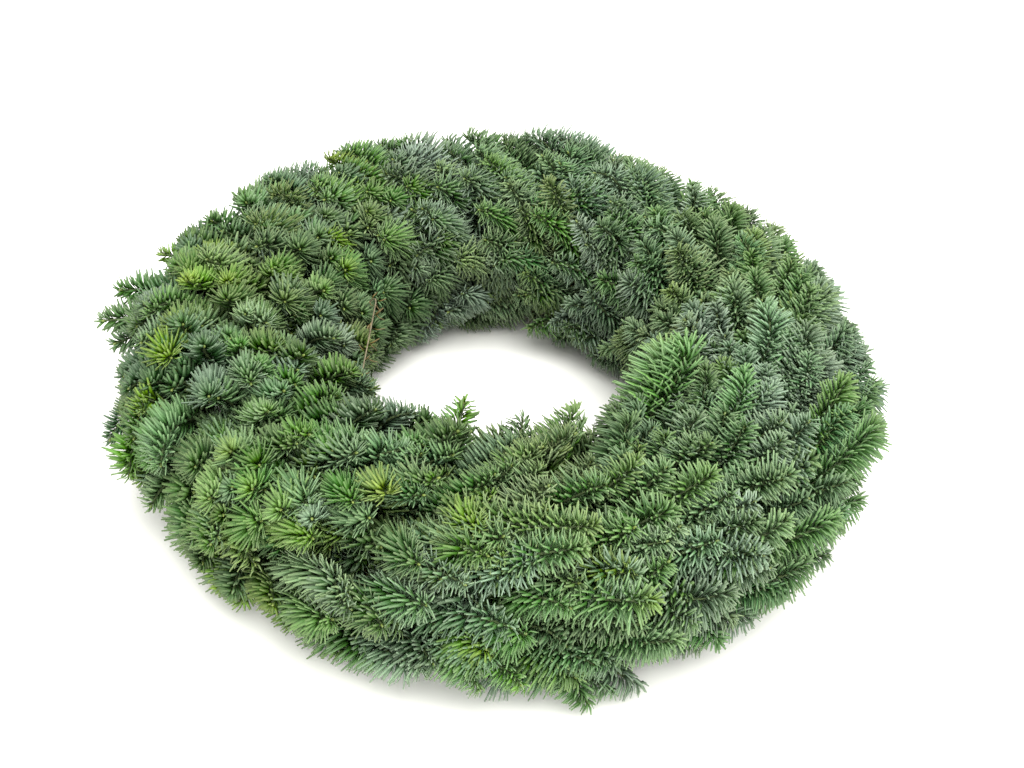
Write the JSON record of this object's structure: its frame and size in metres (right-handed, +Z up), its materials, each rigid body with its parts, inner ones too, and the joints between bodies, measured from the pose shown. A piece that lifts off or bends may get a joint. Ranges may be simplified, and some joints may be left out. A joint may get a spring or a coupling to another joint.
{
  "type": "fresh evergreen wreath",
  "caption": "Round wreath of fresh noble fir sprays wound onto a straw ring, lying flat, with a clear hole in the middle; hung or laid on a table as a festive decoration.",
  "frame": {"origin": "middle of the hole, on the surface that the wreath lies on", "axes": "+Z up, away from the surface, along the wreath's axis; +X to the right and +Y to the back as the picture shows it"},
  "size_m": [0.6015, 0.5917, 0.1593],
  "materials": {
    "straw": "dry bound straw",
    "winding_wire": "dark green lacquered steel wire",
    "fir_deep_green": "fresh noble fir, deep green needles with a waxy bloom",
    "fir_blue_green": "fresh noble fir, blue-green needles with a waxy bloom",
    "fir_yellow_green": "fresh noble fir, yellow-green young needles"
  },
  "bodies": {
    "root": {"straw_ring": "straw", "binding_wire": "winding_wire", "outer_spray_01": "fir_blue_green", "outer_spray_02": "fir_yellow_green", "outer_spray_03": "fir_deep_green", "outer_spray_04": "fir_yellow_green", "outer_spray_05": "fir_blue_green", "outer_spray_06": "fir_blue_green", "outer_spray_07": "fir_deep_green", "outer_spray_08": "fir_deep_green", "outer_spray_09": "fir_blue_green", "outer_spray_10": "fir_deep_green", "outer_spray_11": "fir_yellow_green", "outer_spray_12": "fir_yellow_green", "outer_spray_13": "fir_blue_green", "outer_spray_14": "fir_deep_green", "outer_spray_15": "fir_blue_green", "outer_spray_16": "fir_deep_green", "outer_spray_17": "fir_deep_green", "outer_spray_18": "fir_blue_green", "top_spray_01": "fir_yellow_green", "top_spray_02": "fir_deep_green", "top_spray_03": "fir_blue_green", "top_spray_04": "fir_deep_green", "top_spray_05": "fir_blue_green", "top_spray_06": "fir_yellow_green", "top_spray_07": "fir_blue_green", "top_spray_08": "fir_yellow_green", "top_spray_09": "fir_yellow_green", "top_spray_10": "fir_blue_green", "top_spray_11": "fir_deep_green", "top_spray_12": "fir_deep_green", "top_spray_13": "fir_yellow_green", "top_spray_14": "fir_yellow_green", "top_spray_15": "fir_deep_green", "top_spray_16": "fir_blue_green", "top_spray_17": "fir_blue_green", "top_spray_18": "fir_deep_green", "inner_spray_01": "fir_deep_green", "inner_spray_02": "fir_blue_green", "inner_spray_03": "fir_deep_green", "inner_spray_04": "fir_yellow_green", "inner_spray_05": "fir_blue_green", "inner_spray_06": "fir_deep_green", "inner_spray_07": "fir_deep_green", "inner_spray_08": "fir_yellow_green", "inner_spray_09": "fir_blue_green", "inner_spray_10": "fir_deep_green", "inner_spray_11": "fir_blue_green", "inner_spray_12": "fir_deep_green", "inner_spray_13": "fir_yellow_green", "inner_spray_14": "fir_yellow_green", "inner_spray_15": "fir_deep_green", "inner_spray_16": "fir_deep_green", "inner_spray_17": "fir_blue_green", "inner_spray_18": "fir_yellow_green"}
  },
  "joints": []
}
